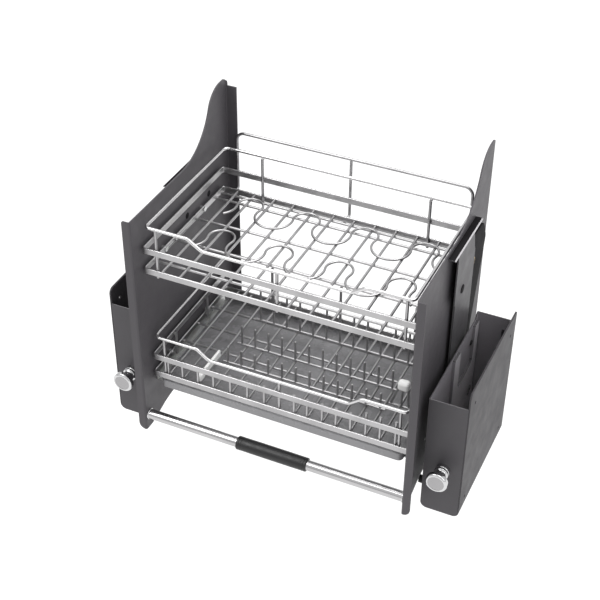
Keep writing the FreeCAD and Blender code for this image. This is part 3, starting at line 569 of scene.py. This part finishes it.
def sheet_metal():
    for side in ("right", "left"):
        # the bevels of the painted sheet take the paler edge paint, a painted highlight
        broken_edges("side_panel_" + side, "panel_sheet_" + side, 0.00045, MATS["panel_paint"], MATS["edge_painted_highlight"])
        paint_light_into_housing(broken_edges("housing_cover_" + side, "housing_shell_" + side, 0.00040, MATS["housing_paint"], MATS["edge_painted_highlight"]))
        # mounting plates in the darker copy: painted shade
        broken_edges("mounting_plate_" + side, "housing_plate_" + side, 0.00050, MATS["mount_plate_painted_shade"], MATS["edge_painted_highlight"])
        bright_bend(broken_edges("arm_bracket_" + side, "bracket_plate_" + side, 0.00040, MATS["arm_paint"], MATS["edge_painted_highlight"]))
        broken_edges("main_arm_" + side, "main_arm_plate_" + side, 0.00045, MATS["arm_paint"], MATS["edge_painted_highlight"])
        # rear arms near black: their dark paint plus painted shade
        broken_edges("aux_arm_" + side, "rear_arm_plate_" + side, 0.00045, MATS["rear_arm_paint"], MATS["rear_arm_paint"])
        broken_edges("tray_runner_" + side, "runner_rail_" + side, 0.00025, MATS["zinc_steel"])
        broken_edges("spring_carriage_" + side, "carriage_block_" + side, 0.00060, MATS["zinc_steel"])
    broken_edges("spring_levers", "lever_plates", 0.00040, MATS["rear_arm_paint"], MATS["edge_painted_highlight"])
    # bearing plates in the pale finish: painted fill light
    dark_edges(broken_edges("bearing_brackets", "bearing_plates", 0.00060, MATS["inner_primer"], MATS["interior_painted_light"]))
    broken_edges("drip_tray", "tray_shell", 0.00045, MATS["tray_plastic"], None, 3)
    # band bevels in the brighter chrome: painted highlight along their edges
    for n, new in (("upper_basket_middle_band", "upper_band_a"), ("upper_basket_lower_band", "upper_band_b"),
                   ("lower_basket_middle_band", "lower_band_a"), ("lower_basket_lower_band", "lower_band_b")):
        broken_edges(n, new, 0.00070, MATS["wire_chrome"], MATS["band_painted_highlight"], 3)
    for n, w in (("aux_pivot_pins", 0.0006), ("aux_pivot_spacers", 0.0004), ("main_shafts", 0.0006), ("shaft_spacers", 0.0005),
                 ("lever_pins", 0.0004), ("main_upper_pins", 0.0005), ("aux_upper_pins", 0.0006), ("handle_screws", 0.0006),
                 ("basket_screws", 0.0005), ("basket_spacers", 0.0003), ("cover_screws", 0.0003), ("runner_screws", 0.0004)):
        broken_edges(n, n + "_turned", w, MATS[SLOT_OF[n]], None, 3)
    for sl in NODES["handle_tube"].material_slots:
        sl.material = MATS["tube_chrome"]
    # the rims take the brighter chrome copy, a painted highlight
    for n in ("upper_basket_rim", "lower_basket_rim"):
        for sl in NODES[n].material_slots:
            sl.material = MATS["rim_painted_highlight"]
    for n in ("raised_bumpers", "lowered_bumpers"):
        broken_edges(n, n + "_moulded", 0.0009, MATS["stop_rubber"], None, 3)


def handle():
    """Soft grip with a lip and two shallow grooves at each end, and turned
    ferrules at the panels. No lettering."""
    half = [(8.0, -57.0), (9.7, -57.0), (10.5, -56.1), (10.6, -53.6), (10.15, -53.2), (10.15, -52.5), (10.55, -52.1), (10.6, -49.6),
            (10.2, -49.2), (10.2, -48.6), (10.45, -48.2), (10.6, -30.0), (10.6, 0.0)]
    prof = half + [(r, -a) for r, a in reversed(half[:-1])]
    prof = [(v.x, v.y) for v in rounded([(r, a, 0) for r, a in prof], 0.55, n=3)]
    ob = lathe("grip_sleeve", "x", (0, 11.0, 24.5), prof, MATS["grip_rubber"], 96, 50)
    piece(ob, "rack", "grip_rubber", "handle_grip")
    out = []
    for s in (1, -1):
        prof = [(0.0, s * 192.7), (6.7, s * 192.7), (6.7, s * 206.7), (8.3, s * 206.7), (8.9, s * 207.2), (8.9, s * 208.2), (8.6, s * 208.7),
                (2.6, s * 208.7)]
        prof = [(v.x, v.y) for v in rounded([(r, a, 0) for r, a in prof], 0.3, n=3)]
        out.append(lathe("tube_ferrule_%s" % ("right" if s > 0 else "left"), "x", (0, 11.0, 24.5), prof, MATS["bright_chrome"], 64, 45))
    piece(out[0], "rack", "bright_chrome", "handle_ferrules")
    piece(out[1], "rack", "bright_chrome")


def knobs():
    """Turned knob: broad head with a rounded rim and a shallow dished face,
    neck and base collar."""
    pts = [(0.0, 9.9), (11.4, 9.9), (12.4, 9.4), (14.0, 9.4), (16.2, 11.2), (16.2, 16.8), (14.6, 18.4), (9.8, 18.9), (8.4, 21.2),
           (8.4, 28.6), (9.2, 29.6), (10.8, 30.8), (10.8, 33.2), (10.1, 33.8), (10.1, 34.6), (10.8, 35.2), (10.8, 39.2), (4.05, 39.2),
           (4.05, 30.0), (0.0, 30.0)]
    rad = [0, 1.2, 0.8, 1.2, 1.8, 1.6, 1.4, 1.6, 1.4, 0.8, 0.8, 0.8, 0.3, 0.3, 0.3, 0.3, 0.3, 0.1, 0.1, 0]
    head = [(v.x, v.y) for v in rounded([(r, a, 0) for r, a in pts], rad, n=4)]
    for side, s in (("right", 1), ("left", -1)):
        ob = lathe("knob_head_" + side, "y", (s * 253.0, 0, 70.5), head, MATS["bright_chrome"], 96, 50)
        # the dished face takes the darker chrome copy: painted shade
        ob.data.materials.append(MATS["knob_dish_painted_shade"])
        for f in ob.data.polygons:
            if f.center.y < P(0, 9.95, 0).y and (Vector((f.center.x, f.center.z)) - Vector((s * 0.253, 0.0859))).length < 0.0122:
                f.material_index = 1
        piece(ob, "knob_" + side, "bright_chrome", "adjuster_knob_" + side)
        # threaded spindle
        turns, y0, y1, pitch = 96, 45.2, 92.6, 1.5
        rows = int((y1 - y0) / pitch * 8)
        seg = 24
        verts, faces = [], []
        for i in range(rows + 1):
            y = y0 + (y1 - y0) * i / rows
            for k in range(seg):
                t = 2 * math.pi * k / seg
                f = ((y / pitch) - t / (2 * math.pi)) % 1.0
                h = 1.0 - abs(2 * f - 1)
                r = 3.25 + 0.72 * min(1.0, h * 1.25)
                if y > 91.0:
                    r = min(r, 3.97 - (y - 91.0) * 0.6)
                verts.append(P(s * 253.0 + r * math.cos(t), y, 70.5 + r * math.sin(t)))
        for i in range(rows):
            for k in range(seg):
                k2 = (k + 1) % seg
                faces.append((i * seg + k, i * seg + k2, (i + 1) * seg + k2, (i + 1) * seg + k))
        faces.append(tuple(range(seg)))
        faces.append(tuple(rows * seg + k for k in range(seg)))
        th = add_mesh("spindle_thread_" + side, verts, faces, MATS["zinc_steel"], True, 50)
        piece(th, "knob_" + side, "zinc_steel", "adjuster_screw_" + side)
        collar = [(0.0, 23.6), (4.0, 23.6), (4.0, 43.5), (6.4, 43.5), (6.4, 44.9), (3.3, 45.2), (0.0, 45.2)]
        collar = [(v.x, v.y) for v in rounded([(r, a, 0) for r, a in collar], 0.25, n=3)]
        sh = lathe("spindle_collar_" + side, "y", (s * 253.0, 0, 70.5), collar, MATS["zinc_steel"], 48, 45)
        piece(sh, "knob_" + side, "zinc_steel")


def springs():
    """Close-coiled tension springs with hooked ends. They stretch between the
    housing and the lever of the main arm."""
    pa = (157.0, 65.0)
    ang = math.radians(225.0)
    T = Vector((0, pa[0] + 50.0 * math.cos(ang), pa[1] + 50.0 * math.sin(ang)))
    for side, s in (("right", 1), ("left", -1)):
        parts, hooks = [], []
        for xc in (242.5, 263.5):
            A = Vector((s * xc, 60.0, 70.5))
            B = Vector((s * xc, T.y, T.z))
            d = (B - A).normalized()
            L = (B - A).length
            u = Vector((1, 0, 0))
            w = d.cross(u)
            rc, rw = 7.05, 1.4
            c0, c1 = 18.0, L - 18.0
            n_turn = (c1 - c0) / 2.86
            pts = []
            steps = int(n_turn * 20)
            # front eye: from the coil in towards the axis, round the pin and back
            eye = []
            R = 3.7 + rw
            for k in range(15):
                t = math.radians(-60 + 300 * k / 14)
                eye.append(A + d * (R * math.cos(t)) + w * (R * math.sin(t)))
            for k in range(steps + 1):
                f = k / steps
                t = 2 * math.pi * n_turn * f
                r = rc * min(1.0, 0.25 + (1 - f) * n_turn / 0.8)
                pts.append(A + d * (c0 + (c1 - c0) * f) + u * (r * math.cos(t)) + w * (r * math.sin(t)))
            eye2 = []
            R2 = 4.3 + rw
            for k in range(15):
                t = math.radians(120 + 300 * k / 14)
                eye2.append(B + d * (R2 * math.cos(t)) + w * (R2 * math.sin(t)))
            line = pts + [B - d * (R2 + 4.0)] + eye2
            parts.append(tube([P(*p) for p in line], rw / 1000.0, 10))
            # hook with a shank that ends inside the first turns
            hooks.append(tube([P(*p) for p in eye + [A + d * (R + 4.0), A + d * 22.5]], rw / 1000.0, 10))
        ob = join_parts("coil_springs_" + side, parts, MATS["spring_steel"])
        A = Vector((s * 253.0, 60.0, 70.5))
        B = Vector((s * 253.0, T.y, T.z))
        d = (B - A).normalized()
        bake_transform(ob)
        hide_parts("lift_springs_" + side)
        piece(join_parts("spring_hooks_" + side, hooks, MATS["spring_steel"]), "carriage_" + side, "spring_steel")


def welds():
    """Small weld beads where wires cross or meet the bands."""
    parts = []

    def bead(x, y, z, rx, ry, rz):
        parts.append(blob(P(x, y, z), rx / 1000.0, ry / 1000.0, rz / 1000.0))
    ub = [max(-179.0, min(179.0, 33.4 * (i - 5.5))) for i in range(12)]
    z = 283.7 + 3.75
    for x in ub:
        for y in (53.0, 112.0, 175.0, 239.0, 255.4):
            bead(x, y, z, 2.35, 2.35, 1.3)
        for y in (22.7 + 1.25, 264.0 - 1.25):
            bead(x, y + (1.0 if y < 100 else -1.0), 289.2, 2.5, 1.4, 2.5)
    for y in (53.0, 112.0, 175.0, 239.0):
        for s in (-1, 1):
            bead(s * 202.2, y, 285.7, 1.4, 2.5, 2.4)
    bx = (-182.0, -158.0, -132.0, -106.0, -78.0, -50.0, -22.6, 25.4, 46.0, 69.6, 91.2, 113.7, 137.2, 158.9, 182.4)
    z = 90.6 + 3.75
    for x in bx:
        for y in (60.0, 117.0, 165.0, 212.0, 254.0):
            bead(x, y, z, 2.35, 2.35, 1.3)
        bead(x, 30.2, 127.5, 2.3, 1.4, 2.6)
        bead(x, 30.2, 96.5, 2.3, 1.4, 2.6)
    for y in (60.0, 117.0, 165.0, 212.0):
        for s in (-1, 1):
            bead(s * 202.2, y, 92.6, 1.4, 2.5, 2.4)
    # posts against the bands and under the rims
    for y0, y1, za, zb, zr, zd, front, back in ((22.7, 264.0, 318.0, 283.5, 363.0, 348.5, (-185.0, 1.5, 188.0), (-134.0, 134.0)),
                                                (28.1, 264.0, 122.8, 90.4, 166.3, 151.5, (-187.0, 1.5, 188.0), (-119.0, 0.0, 125.5))):
        g = 3.75
        for x, y in [(x, y0 + g) for x in front] + [(x, y1 - g) for x in back]:
            sy = -1 if y < 100 else 1
            top = (zd if (y < 100 and abs(x) < 111) else zr) - 2.2
            for zz in (za + 5.0, zb + 5.0):
                bead(x, y + sy * 1.9, zz, 3.0, 1.3, 3.2)
            bead(x, y + sy * 2.2, top - 0.6, 2.5, 2.2, 1.9)
    for x in (-200.75, 200.75):
        sx = -1 if x < 0 else 1
        for y in (90.0, 190.0):
            for zz in (127.8, 95.4):
                bead(x + sx * 1.9, y, zz, 1.3, 3.0, 3.2)
    for y in (92.0, 140.0, 206.0):
        for i in range(12):
            bead(-113.0 + 22.6 * i, y, 100.7, 2.3, 2.3, 1.6)
    for x in (-188.0, 0.0, 188.0):
        bead(x, 262.6, 281.6, 2.6, 2.2, 2.0)
    ob = join_parts("weld_beads", parts, MATS["weld"])
    piece(ob, "rack", "wire_chrome")


# ------------------------------------------------------------- floor and light
def stage():
    me = bpy.data.meshes.new("floor")
    s = 30.0
    h = -0.265    # the rack swings down below the housings' feet
    me.from_pydata([(-s, -s, h), (s, -s, h), (s, s, h), (-s, s, h)], [], [(0, 1, 2, 3)])
    m = Mat("floor_pale")
    col = m.ramp(m.noise(1.6, 3.0), [(0.3, (0.20, 0.20, 0.20)), (0.7, (0.22, 0.22, 0.22))])
    m.set(Base_Color=col, Roughness=m.span(m.noise(9.0, 3.0), 0.75, 0.85))
    m.bsdf.inputs["Specular IOR Level"].default_value = 0.1
    m.bsdf.inputs["Emission Color"].default_value = (1.0, 1.0, 1.0, 1.0)
    m.bsdf.inputs["Emission Strength"].default_value = 0.88
    me.materials.append(m.m)
    fl = bpy.data.objects.new("floor", me)
    bpy.context.scene.collection.objects.link(fl)

    w = bpy.data.worlds.new("studio")
    bpy.context.scene.world = w
    w.use_nodes = True
    t = w.node_tree
    bg = next(n for n in t.nodes if n.type == "BACKGROUND")
    tc = t.nodes.new("ShaderNodeTexCoord")
    sep = t.nodes.new("ShaderNodeSeparateXYZ")
    t.links.new(tc.outputs["Generated"], sep.inputs[0])
    rp = t.nodes.new("ShaderNodeValToRGB")
    e = rp.color_ramp.elements
    e[0].position, e[0].color = 0.0, (0.62, 0.62, 0.63, 1)
    e[1].position, e[1].color = 0.75, (1.0, 1.0, 1.0, 1)
    t.links.new(sep.outputs["Z"], rp.inputs["Fac"])
    t.links.new(rp.outputs["Color"], bg.inputs["Color"])
    bg.inputs["Strength"].default_value = 1.0

    def area(name, loc, aim, size, watts, color=(1, 1, 1)):
        li = bpy.data.lights.new(name, "AREA")
        li.shape = "RECTANGLE"
        li.size, li.size_y = size
        li.energy = watts
        li.color = color
        ob = bpy.data.objects.new(name, li)
        bpy.context.scene.collection.objects.link(ob)
        ob.location = loc
        ob.rotation_euler = (Vector(aim) - Vector(loc)).to_track_quat("-Z", "Y").to_euler()
        return ob
    area("key", (-1.3, -1.1, 2.3), (0, 0, 0.2), (1.6, 1.6), 30.0)
    area("top", (0.1, 0.5, 2.4), (0, 0, 0.2), (2.2, 1.4), 26.0)
    area("fill", (1.9, -1.2, 1.1), (0, 0, 0.2), (1.4, 1.4), 7.0)
    area("side", (1.0, 0.1, 2.2), (-0.2, 0.08, 0.4), (0.9, 1.2), 12.0)

    vs = bpy.context.scene.view_settings
    vs.view_transform = "Standard"
    vs.look = "None"
    vs.exposure = 0.0
    vs.gamma = 1.0


make_camera()
make_materials()
finish_cad_nodes()
sheet_metal()
handle()
knobs()
springs()
welds()
stage()
